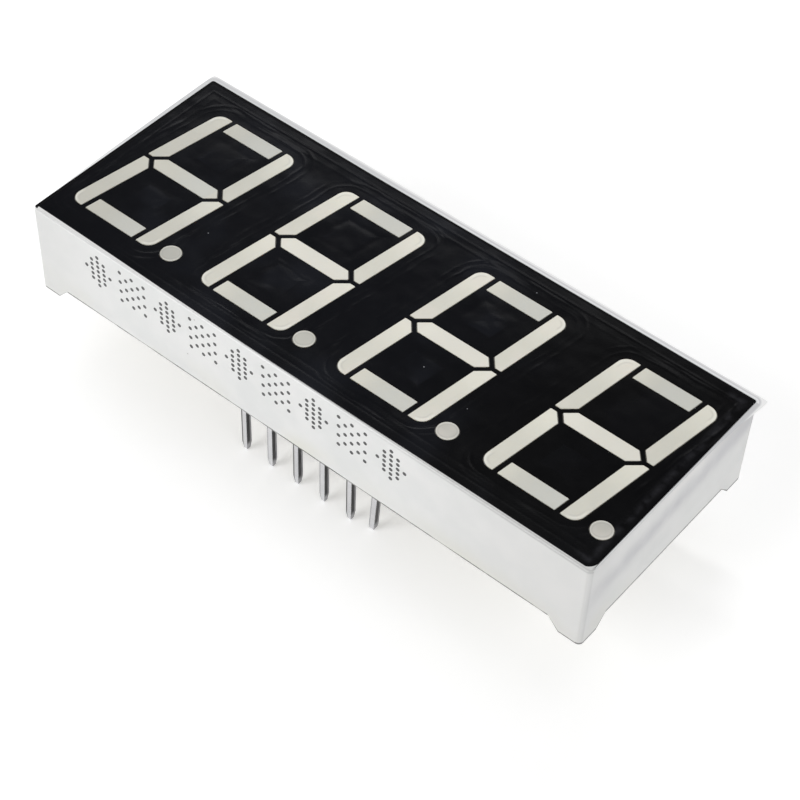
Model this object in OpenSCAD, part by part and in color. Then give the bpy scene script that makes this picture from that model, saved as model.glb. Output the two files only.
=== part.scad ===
// Four-digit seven-segment LED display module for through-hole mounting.
// X runs along the row of digits, Y up the digits and Z out of the face.
// The origin is the centre of the seating plane, on which the corner feet stand.

/* [Case] */
// Length of the case along the row of digits
case_l = 50.5; // [50.5:0.1:64]
// Width of the case across the row of digits
case_w = 19.2; // [18.8:0.1:26]
// Height of the face above the seating plane
case_h = 8; // [7:0.1:12]
// Thickness of the outer walls
wall_t = 1; // [0.8:0.05:1.2]
// Radius of the upright corners
corner_r = 0.4; // [0.25:0.05:1.2]
// Radius of the edge round the face
edge_r = 0.15; // [0.05:0.01:0.2]
// Thickness of the face over the cored pockets
face_t = 0.9; // [0.6:0.05:1.5]

/* [Feet] */
// Height of the corner feet below the lower edge of the walls
foot_h = 1; // [0.4:0.05:1.1]
// Length of a foot's flat end along each wall
foot_l = 1.8; // [1:0.1:4]
// Run of the slope from a foot up to the wall's lower edge
foot_run = 0.9; // [0:0.1:2]

/* [Digits] */
// Height of a digit
digit_h = 14.2; // [10:0.1:14.6]
// Width of a digit, measured level
digit_w = 8.22; // [6.6:0.02:8.6]
// Distance between the centres of neighbouring digits
digit_pitch = 12.7; // [12.5:0.1:13]
// Lean of the digits from the upright
slant = 8; // [0:0.5:10]
// Width of the upright bars, measured level
bar_w = 1.41; // [1:0.01:1.6]
// Width of the level bars
rail_w = 1.47; // [1:0.01:1.6]
// Gap between a level bar's end and the upright bars
rail_gap = 0.3; // [0.2:0.01:0.6]
// Gap between an upper bar and the lower bar under it
split_gap = 0.27; // [0.2:0.01:0.6]
// Gap along the slanted cuts at the middle bar
cut_gap = 0.28; // [0.2:0.01:0.6]
// Height at which the slanted cut meets an upright bar's inner edge
cut_h = 0.96; // [0.85:0.01:1.2]
// Radius of the digit's four outer corners
outer_r = 0.95; // [0.3:0.05:1.2]
// Radius of the other window corners
tip_r = 0.12; // [0.08:0.01:0.2]
// Diameter of the decimal point
point_d = 1.7; // [1.2:0.05:1.8]
// Level distance from a digit's centre to its decimal point
point_x = 4.65; // [4.6:0.05:4.9]

/* [Face print] */
// Thickness of the printed face
mask_t = 0.06; // [0.04:0.01:0.12]
// Unprinted margin round the face
mask_margin = 0.22; // [0.2:0.01:0.6]
// Shift of the print towards the lower right of the face
mask_shift = 0.07; // [0:0.01:0.1]
// White rim left between the print and each filled window
window_rim = 0.07; // [0.03:0.01:0.12]

/* [Board] */
// Height of the board's underside above the seating plane
board_z = 1.7; // [1.5:0.05:2]
// Thickness of the board
board_t = 1; // [0.6:0.1:1.2]
// Gap between the board's edge and the walls
board_side_gap = 0.2; // [0.1:0.05:0.4]
// Gap between the board and the reflector over it
board_top_gap = 0.1; // [0.08:0.01:0.2]
// Thickness of the copper tracks
copper_t = 0.04; // [0.02:0.005:0.06]
// Height of the potting surface above the walls' lower edge
potting_rise = 0.2; // [0.1:0.05:0.45]

/* [Pins] */
// Side of the square pins
pin_w = 0.5; // [0.4:0.05:0.55]
// Distance between neighbouring pins
pin_pitch = 2.54; // [2:0.01:2.6]
// Distance between the two rows of pins
row_pitch = 15.24; // [15.2:0.01:15.4]
// Length of a pin below the seating plane
pin_len = 6.2; // [3:0.1:12]
// Length of the tapered tip
tip_len = 0.9; // [0.3:0.1:1.5]
// Width of the tip's flat end
tip_w = 0.15; // [0.1:0.01:0.35]
// Lean of the bent pin along its row, towards its neighbour
bent_x = 5.8; // [0:0.1:8]
// Lean of the bent pin towards the other row
bent_y = 3.3; // [0:0.1:8]
// Length of the bent pin's blunter tip
bent_tip_len = 0.4; // [0.2:0.1:1.5]
// Width of the blunter tip's flat end
bent_tip_w = 0.28; // [0.1:0.01:0.35]

/* [LED chips] */
// Side of a chip
chip_w = 0.28; // [0.2:0.01:0.35]
// Height of a chip
chip_h = 0.2; // [0.1:0.01:0.25]
// Distance from a chip to the pad its wire lands on
bond_reach = 0.7; // [0.6:0.01:0.75]
// Diameter of the bond wire
wire_d = 0.03; // [0.025:0.005:0.04]
// Angle that the wire's arch sweeps
wire_arc = 150; // [120:5:175]

/* [Hidden] */
$fn = 48;
DIGITS = [1:4];
PINS = [1:12];
SEGMENTS = ["a", "b", "c", "d", "e", "f", "g", "dp"];
LEVEL_BARS = ["a", "d", "g"];

// Heights of the stack
face_z = case_h - mask_t;
board_top = board_z + board_t;
block_z = board_top + board_top_gap;
potting_z = foot_h + potting_rise;
pocket_top = case_h - face_t;

// Digit outline
half_w = digit_w / 2;
half_h = digit_h / 2;
inner_x = half_w - bar_w;
rail_x = inner_x - rail_gap;
cut_sum = inner_x + cut_h;
tip_x = cut_sum - cut_gap * sqrt(2);
rail_y = half_h - rail_w / 2;

// Funnels narrow to these mouths over the board
mouth_l = 1.8;
mouth_w = 0.95;
mouth_d = 1.1;
corner_steps = 4;
bend_steps = 8;

// Cored pockets under the face
pocket_r = 0.5;
pocket_wall = 1.1;

// How far the resin in the block's hollows laps into the resin under it
hollow_lap = board_top_gap / 2;
hollow_z = block_z - hollow_lap;

// Pins, pads and solder
pins_per_row = 6;
BENT_PIN = 6;
pin_stand = 0.6;
pin_top = board_top + pin_stand;
pin_hole_gap = 0.14;
pin_hole_d = pin_w * sqrt(2) + pin_hole_gap;
pad_to_edge = 0.05;
board_w = case_w - 2 * (wall_t + board_side_gap);
pin_pad_d = min(pin_hole_d + 0.35, board_w - row_pitch - 2 * pad_to_edge);
solder_d = pin_hole_d + 0.05;
solder_top_d = pin_hole_d - 0.1;
solder_h = 0.35;
pin_pocket_d = solder_d + 0.15;
pin_pocket_h = pin_stand + 0.2;
collar_d = pin_w * sqrt(2) + 0.8;
collar_h = 0.18;

// Copper
chip_pad = 0.5;
wire_pad = 0.4;
track_w = 0.22;
via_d = 0.3;
spine_x = -1.2;
link_y = rail_y + 0.4;
middle_lane_x = 1.75;
d_bus_shift = 0.26;
dp_bus_shift = -0.12;
bus_end = 0.4;

// The segment or the digit that each pin feeds, pin 1 first
PIN_NETS = ["e", "d", "dp", "c", "g", 4, "b", 3, 2, "f", "a", 1];

// Bond wire details
ball_d = 0.09;
ball_h = 0.03;
stitch_d = 0.08;
stitch_h = 0.02;

// ---- Points and outlines -------------------------------------------------

function unit(v) = v / norm(v);

// A corner is [x, y, radius]. Leans a point or corner over with the digit.
function lean(p) = [p.x + tan(slant) * p.y, p.y, p.z];
function upright(p) = [p.x - tan(slant) * p.y, p.y];

function xy(p) = [p.x, p.y];

// The arc that rounds the corner p between its neighbours a and b
function corner_arc(a, p, b, steps) =
    let (
        u = unit(xy(a) - xy(p)),
        v = unit(xy(b) - xy(p)),
        half = acos(u * v) / 2,
        centre = xy(p) + unit(u + v) * p.z / sin(half),
        from = xy(p) + u * p.z / tan(half) - centre,
        to = xy(p) + v * p.z / tan(half) - centre,
        start = atan2(from.y, from.x),
        sweep = atan2(cross(from, to), from * to)
    )
    [for (i = [0:steps]) centre + p.z * [cos(start + sweep * i / steps), sin(start + sweep * i / steps)]];

function rounded(corners) =
    let (n = len(corners))
    [for (i = [0:n - 1])
        each corner_arc(
            corners[(i + n - 1) % n], corners[i], corners[(i + 1) % n],
            corners[i].z > 2 * tip_r ? bend_steps : corner_steps
        )
    ];

// Moves each side of a convex outline inwards by d
function inset(corners, d) =
    let (n = len(corners))
    [for (i = [0:n - 1])
        let (
            p = corners[i],
            u = unit(xy(corners[(i + n - 1) % n]) - xy(p)),
            v = unit(xy(corners[(i + 1) % n]) - xy(p)),
            q = xy(p) + (u + v) * d / sin(acos(u * v))
        )
        [q.x, q.y, max(p.z - d, tip_r / 3)]
    ];

// Mirrors corners by the signs sx and sy and keeps them anticlockwise
function mirrored(corners, sx, sy) =
    let (flipped = [for (p = corners) [p.x * sx, p.y * sy, p.z]])
    sx * sy > 0 ? flipped : [for (i = [len(flipped) - 1:-1:0]) flipped[i]];

function box_corners(l, w, r) =
    [[-l / 2, -w / 2, r], [l / 2, -w / 2, r], [l / 2, w / 2, r], [-l / 2, w / 2, r]];

function span_corners(x0, x1, y0, y1, r) =
    [[x0, y0, r], [x1, y0, r], [x1, y1, r], [x0, y1, r]];

side_bar = [
    [inner_x, cut_h, tip_r],
    [cut_sum - split_gap / 2, split_gap / 2, tip_r],
    [half_w, split_gap / 2, tip_r],
    [half_w, half_h, outer_r],
    [inner_x, half_h, tip_r]
];
end_bar = span_corners(-rail_x, rail_x, half_h - rail_w, half_h, tip_r);
middle_bar = [
    [tip_x, 0, tip_r],
    [tip_x - rail_w / 2, rail_w / 2, tip_r],
    [rail_w / 2 - tip_x, rail_w / 2, tip_r],
    [-tip_x, 0, tip_r],
    [rail_w / 2 - tip_x, -rail_w / 2, tip_r],
    [tip_x - rail_w / 2, -rail_w / 2, tip_r]
];

// The upright corners of a bar's window, digit centre at the origin
function bar_corners(s) =
    s == "a" ? end_bar :
    s == "d" ? mirrored(end_bar, 1, -1) :
    s == "g" ? middle_bar :
    s == "b" ? side_bar :
    s == "c" ? mirrored(side_bar, 1, -1) :
    s == "e" ? mirrored(side_bar, -1, -1) :
    mirrored(side_bar, -1, 1);

// A bar's leaning outline, drawn in by d
function bar_outline(s, d) = rounded(inset([for (p = bar_corners(s)) lean(p)], d));

function digit_x(n) = (n - 2.5) * digit_pitch;

// Centre of a window in its digit, before it leans
function window_centre(s) =
    s == "a" ? [0, rail_y] :
    s == "d" ? [0, -rail_y] :
    s == "g" ? [0, 0] :
    s == "dp" ? [point_x + tan(slant) * rail_y, -rail_y] :
    let (p = [half_w - bar_w / 2, (half_h + cut_h) / 2])
    s == "b" ? p :
    s == "c" ? [p.x, -p.y] :
    s == "e" ? [-p.x, -p.y] :
    [-p.x, p.y];

// The same centre on the leaning digit
function window_place(s) = xy(lean([window_centre(s).x, window_centre(s).y, 0]));

function is_level(s) = len([for (t = LEVEL_BARS) if (t == s) t]) > 0;

// Direction from a chip to its wire pad, before the lean
function bond_dir(s) =
    is_level(s) ? [1, 0] :
    s == "e" || s == "f" ? [0, 1] :
    [0, -1];

// Where a chip, at -1, or its wire pad, at 1, lies on the board
function bond_point(n, s, side) =
    let (p = window_centre(s) + bond_dir(s) * bond_reach / 2 * side, q = lean([p.x, p.y, 0]))
    [q.x + digit_x(n), q.y];

function pin_place(k) =
    k <= pins_per_row
        ? [(k - (pins_per_row + 1) / 2) * pin_pitch, -row_pitch / 2]
        : [(3 * pins_per_row + 1 - 2 * k) / 2 * pin_pitch, row_pitch / 2];

// ---- Shared shapes -------------------------------------------------------

// A solid through rings of points, each ring [points, height]
module loft(rings) {
    count = len(rings[0][0]);
    last = len(rings) - 1;
    points = [for (ring = rings, p = ring[0]) [p.x, p.y, ring[1]]];
    sides = [
        for (r = [0:last - 1], i = [0:count - 1])
            let (j = (i + 1) % count)
            each [
                [r * count + i, (r + 1) * count + j, r * count + j],
                [r * count + i, (r + 1) * count + i, (r + 1) * count + j]
            ]
    ];
    bottom = [for (i = [0:count - 1]) i];
    top = [for (i = [count - 1:-1:0]) last * count + i];
    polyhedron(points, concat([bottom, top], sides), convexity = 4);
}

// The light funnel of one segment, from the board side to the face
module funnel(n, s) {
    translate([digit_x(n), 0, 0])
        if (s == "dp") {
            point_funnel();
        } else {
            bar_funnel(s);
        }
}

// The mouth is the window's outline, shrunk about the window's centre to mouth_size
module bar_funnel(s) {
    top = bar_outline(s, window_rim);
    c = window_centre(s);
    window_size = is_level(s)
        ? [2 * (s == "g" ? tip_x : rail_x), rail_w]
        : [bar_w, half_h - split_gap / 2];
    mouth_size = is_level(s) ? [mouth_l, mouth_w] : [mouth_w, mouth_l];
    shrink = [mouth_size.x / window_size.x, mouth_size.y / window_size.y];
    mouth = [
        for (p = top)
            let (q = upright(p) - c)
            xy(lean([c.x + q.x * shrink.x, c.y + q.y * shrink.y, 0]))
    ];
    loft([[mouth, hollow_z], [mouth, block_z], [top, face_z], [top, case_h]]);
}

// The round funnel behind a decimal point
module point_funnel() {
    top_d = point_d - 2 * window_rim;
    translate(window_place("dp")) {
        translate([0, 0, hollow_z])
            cylinder(h = hollow_lap, d = mouth_d);
        translate([0, 0, block_z])
            cylinder(h = face_z - block_z, d1 = mouth_d, d2 = top_d);
        translate([0, 0, face_z])
            cylinder(h = mask_t, d = top_d);
    }
}

// A pocket with leaning sides between the levels y0 and y1
module cored_pocket(x0, x1, y0, y1) {
    r = min(pocket_r, 0.45 * min(x1 - x0, y1 - y0));
    translate([0, 0, hollow_z])
        linear_extrude(pocket_top - hollow_z)
            polygon(rounded([for (p = span_corners(x0, x1, y0, y1, r)) lean(p)]));
}

// The pockets that keep the walls of the moulding even
module cored_pockets() {
    square_x = inner_x - pocket_wall;
    square_y0 = cut_h + pocket_wall / 2;
    square_y1 = half_h - rail_w - pocket_wall / 2;
    lane_x0 = half_w + pocket_wall;
    lane_x1 = digit_pitch - half_w - pocket_wall;
    lane_y0 = point_d + pocket_wall / 2 - half_h;
    for (n = DIGITS)
        translate([digit_x(n), 0, 0]) {
            cored_pocket(-square_x, square_x, square_y0, square_y1);
            cored_pocket(-square_x, square_x, -square_y1, -square_y0);
        }
    for (n = [1:3])
        translate([digit_x(n), 0, 0])
            cored_pocket(lane_x0, lane_x1, lane_y0, square_y1);
}

// The round pockets that clear the upper ends of the pins
module pin_pockets() {
    for (k = PINS)
        translate([pin_place(k).x, pin_place(k).y, hollow_z])
            cylinder(h = hollow_lap + pin_pocket_h, d = pin_pocket_d);
}

// All the hollows of the block, which the resin fills
module block_hollows() {
    for (n = DIGITS, s = SEGMENTS)
        funnel(n, s);
    cored_pockets();
    pin_pockets();
}

module cavity_outline(gap) {
    polygon(rounded(box_corners(
        case_l - 2 * wall_t - 2 * gap, case_w - 2 * wall_t - 2 * gap, corner_r
    )));
}

// ---- Case and face -------------------------------------------------------

module case_block() {
    outline = box_corners(case_l, case_w, corner_r);
    edge_steps = 3;
    linear_extrude(face_z - edge_r)
        polygon(rounded(outline));
    loft([
        for (i = [0:edge_steps])
            let (a = 90 * i / edge_steps)
            [case_ring(edge_r * (1 - cos(a))), face_z - edge_r + edge_r * sin(a)]
    ]);
}

// The case's outline drawn in by d, its corner radius shrinking with it
function case_ring(d) =
    rounded(box_corners(case_l - 2 * d, case_w - 2 * d, corner_r - d));

// What is cut away between the feet along the walls of length l
module foot_relief(l, depth) {
    low = l / 2 - foot_l;
    high = low - foot_run;
    skirt = 1;
    rotate([90, 0, 0])
        translate([0, 0, -depth / 2 - skirt])
            linear_extrude(depth + 2 * skirt)
                polygon([
                    [-low, -skirt], [low, -skirt], [low, 0],
                    [high, foot_h], [-high, foot_h], [-low, 0]
                ]);
}

module reflector_case() {
    skirt = 1;
    color("whitesmoke")
        difference() {
            case_block();
            translate([0, 0, -skirt])
                linear_extrude(block_z + skirt)
                    cavity_outline(0);
            foot_relief(case_l, case_w);
            rotate([0, 0, 90])
                foot_relief(case_w, case_l);
            block_hollows();
        }
}

module face_mask() {
    color([0.08, 0.08, 0.09])
        translate([0, 0, face_z])
            linear_extrude(mask_t)
                difference() {
                    translate([mask_shift, -mask_shift])
                        polygon(case_ring(mask_margin));
                    for (n = DIGITS)
                        translate([digit_x(n), 0])
                            digit_windows();
                }
}

module digit_windows() {
    for (s = SEGMENTS)
        if (s == "dp") {
            translate(window_place(s))
                circle(d = point_d);
        } else {
            polygon(bar_outline(s, 0));
        }
}

// ---- Potting -------------------------------------------------------------

module epoxy_fill() {
    color([0.86, 0.85, 0.8])
        difference() {
            union() {
                translate([0, 0, potting_z])
                    linear_extrude(block_z - potting_z)
                        cavity_outline(0);
                block_hollows();
                for (k = PINS)
                    translate([pin_place(k).x, pin_place(k).y, potting_z - collar_h])
                        cylinder(h = collar_h, d1 = pin_w * sqrt(2), d2 = collar_d);
            }
            board_blank();
            front_copper();
            back_copper();
            for (k = PINS) {
                pin_body(k);
                solder_joint(k);
            }
            for (n = DIGITS, s = SEGMENTS) {
                led_body(n, s);
                bond_wire(n, s);
            }
        }
}

// ---- Board ---------------------------------------------------------------

module board_blank() {
    translate([0, 0, board_z])
        linear_extrude(board_t)
            cavity_outline(board_side_gap);
}

// Height across the face at which the wire pads of a segment lie
function tap_y(s) = bond_point(1, s, 1).y;

// An end of a digit's spine, the upper one at 1 and the lower one at -1
function spine_end(n, side) = xy(lean([spine_x, side * rail_y, 0])) + [digit_x(n), 0];

// The corners of the track from pin k to its digit's spine or its segment's tap
function pin_route(k) =
    let (p = pin_place(k), net = PIN_NETS[k - 1])
    net == 1 ? [p, [spine_end(1, 1).x, p.y], spine_end(1, 1)] :
    net == 4 ? [p, [spine_end(4, -1).x, p.y], spine_end(4, -1)] :
    net == 2 || net == 3 ? [p, [p.x, link_y], [spine_end(net, 1).x, link_y], spine_end(net, 1)] :
    net == "e" ? [p, [-digit_pitch, p.y], [-digit_pitch, tap_y(net)]] :
    net == "b" ? [p, [digit_pitch, p.y], [digit_pitch, tap_y(net)]] :
    net == "g" ? [p, [p.x, -link_y], [middle_lane_x, -link_y], [middle_lane_x, tap_y(net)]] :
    [p, [p.x, tap_y(net)]];

// The second digit's track runs on the back of the board, under the tracks it crosses
UNDERPASS_PIN = 9;
function underpass() = let (r = pin_route(UNDERPASS_PIN)) [r[0], r[1], r[2]];
function front_route(k) = let (r = pin_route(k)) k == UNDERPASS_PIN ? [r[2], r[3]] : r;

// Where the nets pass through the board
PIN_TAPS = [
    underpass()[2],
    for (k = PINS) if (is_string(PIN_NETS[k - 1])) let (r = pin_route(k)) r[len(r) - 1]
];
WIRE_TAPS = [for (n = DIGITS, s = SEGMENTS) bond_point(n, s, 1)];

module vias() {
    for (p = concat(PIN_TAPS, WIRE_TAPS))
        translate([p.x, p.y, board_z])
            cylinder(h = board_t, d = via_d);
}

module circuit_board() {
    color([0.9, 0.88, 0.8])
        difference() {
            board_blank();
            for (k = PINS)
                translate([pin_place(k).x, pin_place(k).y, board_z - 1])
                    cylinder(h = board_t + 2, d = pin_hole_d);
            vias();
        }
}

// A strip of track from p to q
module strip(p, q) {
    side = unit([p.y - q.y, q.x - p.x]) * track_w / 2;
    polygon([p - side, q - side, q + side, p + side]);
}

// A track through all the corners of a route
module track(route) {
    last = len(route) - 1;
    for (i = [1:last])
        strip(route[i - 1], route[i]);
    for (i = [1:last])
        pad(route[i], track_w);
}

module pad(p, size) {
    translate([p.x - size / 2, p.y - size / 2])
        square(size);
}

module pin_pads() {
    for (k = PINS)
        translate(pin_place(k))
            circle(d = pin_pad_d);
}

module pin_holes() {
    for (k = PINS)
        translate(pin_place(k))
            circle(d = pin_hole_d);
}

// The common net of a digit: a spine with a spur to the pad under each chip
module common_net(n) {
    strip(spine_end(n, -1), spine_end(n, 1));
    for (s = SEGMENTS) {
        p = bond_point(n, s, -1);
        on_spine = xy(lean([spine_x, p.y, 0])) + [digit_x(n), 0];
        strip(on_spine, p);
        pad(p, chip_pad);
    }
}

module front_copper() {
    translate([0, 0, board_top])
        linear_extrude(copper_t)
            difference() {
                union() {
                    pin_pads();
                    for (k = PINS)
                        track(front_route(k));
                    for (n = DIGITS)
                        common_net(n);
                    for (p = PIN_TAPS)
                        pad(p, wire_pad);
                    for (p = WIRE_TAPS)
                        pad(p, wire_pad);
                }
                pin_holes();
            }
}

module front_tracks() {
    color("goldenrod")
        union() {
            front_copper();
            vias();
        }
}

function bus_y(s) = tap_y(s) + (s == "d" ? d_bus_shift : s == "dp" ? dp_bus_shift : 0);

// The segment nets: a bus along the board for each, with a pad at each tap
module back_copper() {
    reach = case_l / 2 - wall_t - bus_end;
    translate([0, 0, board_z - copper_t])
        linear_extrude(copper_t)
            difference() {
                union() {
                    pin_pads();
                    track(underpass());
                    for (s = SEGMENTS)
                        strip([-reach, bus_y(s)], [reach, bus_y(s)]);
                    for (p = PIN_TAPS)
                        pad(p, wire_pad);
                    for (p = WIRE_TAPS)
                        pad(p, wire_pad);
                }
                pin_holes();
            }
}

module back_tracks() {
    color("goldenrod")
        back_copper();
}

// ---- Pins and solder -----------------------------------------------------

// A pin's side view, with the flat end at the origin and the top at h
function pin_profile(h, taper, end_w) =
    let (w = pin_w / 2, e = end_w / 2, m = (w + e) / 2, r = 0.15 * taper)
    [[-e, 0], [e, 0], [m, r], [w, taper], [w, h], [-w, h], [-w, taper], [-m, r]];

// A square bar of height h that stands on its tapered tip
module pointed_bar(h, taper, end_w) {
    intersection() {
        rotate([90, 0, 0])
            linear_extrude(pin_w, center = true)
                polygon(pin_profile(h, taper, end_w));
        rotate([90, 0, 90])
            linear_extrude(pin_w, center = true)
                polygon(pin_profile(h, taper, end_w));
    }
}

// A pin that leaves the resin straight, or leaning if it is the bent one
module pin_body(k) {
    translate([pin_place(k).x, pin_place(k).y, 0])
        if (k == BENT_PIN) {
            bend_lap = 0.1;
            translate([-pin_w / 2, -pin_w / 2, potting_z])
                cube([pin_w, pin_w, pin_top - potting_z]);
            translate([0, 0, potting_z])
                rotate([bent_y, bent_x, 0])
                    translate([0, 0, -potting_z - pin_len])
                        pointed_bar(potting_z + pin_len + bend_lap, bent_tip_len, bent_tip_w);
        } else {
            translate([0, 0, -pin_len])
                pointed_bar(pin_len + pin_top, tip_len, tip_w);
        }
}

module pin(k) {
    color("silver")
        pin_body(k);
}

// The joint of one pin: the plug in its hole and the fillet over the board
module solder_joint(k) {
    translate([pin_place(k).x, pin_place(k).y, 0])
        difference() {
            union() {
                translate([0, 0, board_z - copper_t])
                    cylinder(h = board_t + 2 * copper_t, d = pin_hole_d);
                translate([0, 0, board_top + copper_t])
                    cylinder(h = solder_h, d1 = solder_d, d2 = solder_top_d);
            }
            translate([-pin_w / 2, -pin_w / 2, board_z - 1])
                cube([pin_w, pin_w, board_t + solder_h + 2]);
        }
}

module solder_joints() {
    color("lightgray")
        for (k = PINS)
            solder_joint(k);
}

// ---- Chips and wires -----------------------------------------------------

module led_body(n, s) {
    p = bond_point(n, s, -1);
    translate([p.x - chip_w / 2, p.y - chip_w / 2, board_top + copper_t])
        cube([chip_w, chip_w, chip_h]);
}

module led(n, s) {
    color([0.75, 0.3, 0.25])
        led_body(n, s);
}

// A ball on the chip, an arch of wire and a stitch on the pad
module bond_wire(n, s) {
    from = bond_point(n, s, -1);
    to = bond_point(n, s, 1);
    pad_z = board_top + copper_t;
    ball_z = pad_z + chip_h;
    reach = norm(to - from);
    drop = chip_h + ball_h - stitch_h;
    chord = norm([reach, drop]);
    arch_r = chord / 2 / sin(wire_arc / 2);
    heading = atan2(to.y - from.y, to.x - from.x);
    translate([from.x, from.y, ball_z])
        cylinder(h = ball_h, d = ball_d);
    translate([to.x, to.y, pad_z])
        cylinder(h = stitch_h, d = stitch_d);
    translate([(from.x + to.x) / 2, (from.y + to.y) / 2, pad_z + stitch_h + drop / 2])
        rotate([90, 0, heading])
            rotate(-atan2(drop, reach))
                translate([0, -arch_r * cos(wire_arc / 2)])
                    rotate(90 - wire_arc / 2)
                        rotate_extrude(angle = wire_arc)
                            translate([arch_r, 0])
                                circle(d = wire_d);
}

module bond_wires(n) {
    color("gold")
        for (s = SEGMENTS)
            bond_wire(n, s);
}

// ---- Assembly ------------------------------------------------------------

reflector_case();
face_mask();
epoxy_fill();
circuit_board();
front_tracks();
back_tracks();
solder_joints();
for (k = PINS)
    pin(k);
for (n = DIGITS, s = SEGMENTS)
    led(n, s);
for (n = DIGITS)
    bond_wires(n);
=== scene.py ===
"""Four-digit seven-segment display module, standing on the tips of its pins."""

import math

import bmesh
import bpy
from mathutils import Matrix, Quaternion, Vector


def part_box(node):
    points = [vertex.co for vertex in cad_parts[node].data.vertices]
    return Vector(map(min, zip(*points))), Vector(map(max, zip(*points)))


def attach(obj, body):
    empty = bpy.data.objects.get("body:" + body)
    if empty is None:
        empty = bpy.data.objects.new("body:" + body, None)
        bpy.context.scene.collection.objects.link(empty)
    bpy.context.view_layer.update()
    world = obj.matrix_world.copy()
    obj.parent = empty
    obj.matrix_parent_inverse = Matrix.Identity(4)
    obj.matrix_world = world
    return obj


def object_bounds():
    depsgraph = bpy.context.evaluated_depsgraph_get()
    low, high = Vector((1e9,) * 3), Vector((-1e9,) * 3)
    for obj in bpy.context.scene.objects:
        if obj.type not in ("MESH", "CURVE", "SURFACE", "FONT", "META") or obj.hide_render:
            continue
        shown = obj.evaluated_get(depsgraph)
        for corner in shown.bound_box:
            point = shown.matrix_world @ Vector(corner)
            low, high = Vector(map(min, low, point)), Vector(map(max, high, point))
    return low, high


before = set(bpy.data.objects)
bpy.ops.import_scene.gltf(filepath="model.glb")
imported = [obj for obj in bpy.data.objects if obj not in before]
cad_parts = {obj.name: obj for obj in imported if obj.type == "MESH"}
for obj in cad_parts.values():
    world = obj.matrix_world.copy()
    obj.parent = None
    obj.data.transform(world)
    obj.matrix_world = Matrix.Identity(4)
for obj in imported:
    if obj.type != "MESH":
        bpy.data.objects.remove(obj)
cad_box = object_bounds()

# Metres in a millimetre and in a micrometre.
MM = 0.001
MICRON = 1e-6

# ---- Sizes of the object, in millimetres, as in its CAD source ----------------
CASE_L = 50.5
CASE_W = 19.2
CASE_H = 8.0
CORNER_R = 0.4
FACE_MARGIN = 0.22
FACE_SHIFT = 0.07
WALL_FOOT_Z = 1.0
FOOT_FLAT = 1.8
POTTING_TOP_Z = 1.6

DIGIT_PITCH = 12.7
DIGIT_HALF_W = 4.11
DIGIT_HALF_H = 7.1
DIGIT_CORNER = 0.95
SLANT = math.tan(math.radians(8))
BAR_SPLIT_X = 2.55
MIDDLE_CUT = 3.46
POINT_INNER_X = 4.4
POINT_X = 5.54
POINT_Y = 6.36

PIN_PITCH = 2.54
PIN_ROW_Y = 7.62
BENT_PIN_MIN_X = PIN_PITCH * 2
BEND_Z = 1.2
BENT_LEAN_X = math.tan(math.radians(5.8))
BENT_LEAN_Y = math.tan(math.radians(3.3))

# A point this near a side of the case counts as on that side.
SKIN = 0.05

BEVEL_SAMPLES = 4


# ---- Numbers and colours that vary over a surface -----------------------------
class Field:
    """A number that varies over a surface: a socket of its node tree, with arithmetic."""

    def __init__(self, tree, socket):
        self.tree = tree
        self.socket = socket

    def __add__(self, other):
        return calc(self.tree, "ADD", self, other)

    def __sub__(self, other):
        return calc(self.tree, "SUBTRACT", self, other)

    def __rsub__(self, other):
        return calc(self.tree, "SUBTRACT", other, self)

    def __mul__(self, other):
        return calc(self.tree, "MULTIPLY", self, other)

    def __truediv__(self, other):
        return calc(self.tree, "DIVIDE", self, other)

    def __abs__(self):
        return calc(self.tree, "ABSOLUTE", self)

    def __gt__(self, other):
        return calc(self.tree, "GREATER_THAN", self, other)

    def __lt__(self, other):
        return calc(self.tree, "LESS_THAN", self, other)


def plug(tree, value, socket):
    """Links a varying value in, or sets a plain one."""
    if isinstance(value, Field):
        value = value.socket
    if isinstance(value, bpy.types.NodeSocket):
        tree.links.new(value, socket)
    else:
        socket.default_value = value


def calc(tree, operation, *values):
    """A Math node's result."""
    node = tree.nodes.new("ShaderNodeMath")
    node.operation = operation
    for value, socket in zip(values, node.inputs):
        plug(tree, value, socket)
    return Field(tree, node.outputs[0])


def larger(one, other):
    return calc(one.tree, "MAXIMUM", one, other)


def smaller(one, other):
    return calc(one.tree, "MINIMUM", one, other)


def length(one, other):
    """The length of a vector with these two sides."""
    return calc(one.tree, "SQRT", one * one + other * other)


def wrap(value, high, low):
    """The value, brought between low and high by whole turns."""
    return calc(value.tree, "WRAP", value, high, low)


def fade(value, low, high, to_low=0.0, to_high=1.0):
    """A smooth step: to_low where value is low, to_high where it is high."""
    node = value.tree.nodes.new("ShaderNodeMapRange")
    node.interpolation_type = "SMOOTHSTEP"
    plug(value.tree, value, node.inputs["Value"])
    node.inputs["From Min"].default_value = low
    node.inputs["From Max"].default_value = high
    node.inputs["To Min"].default_value = to_low
    node.inputs["To Max"].default_value = to_high
    return Field(value.tree, node.outputs["Result"])


def hump(distance, centre, width, height):
    """A ridge of that height and half width, along the line where distance is centre."""
    share = (distance - centre) / width
    return calc(distance.tree, "EXPONENT", share * share * -1.0) * height


def swing(noise, amount):
    """Noise of 0 to 1 as a swing of amount either side of 0."""
    return (noise - 0.5) * (2 * amount)


def box_distance(x, y, half_x, half_y, corner):
    """Distance outside a rounded rectangle round the origin, less than 0 inside."""
    out_x = abs(x) - (half_x - corner)
    out_y = abs(y) - (half_y - corner)
    beyond = length(larger(out_x, 0.0), larger(out_y, 0.0))
    within = smaller(larger(out_x, out_y), 0.0)
    return beyond + within - corner


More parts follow.
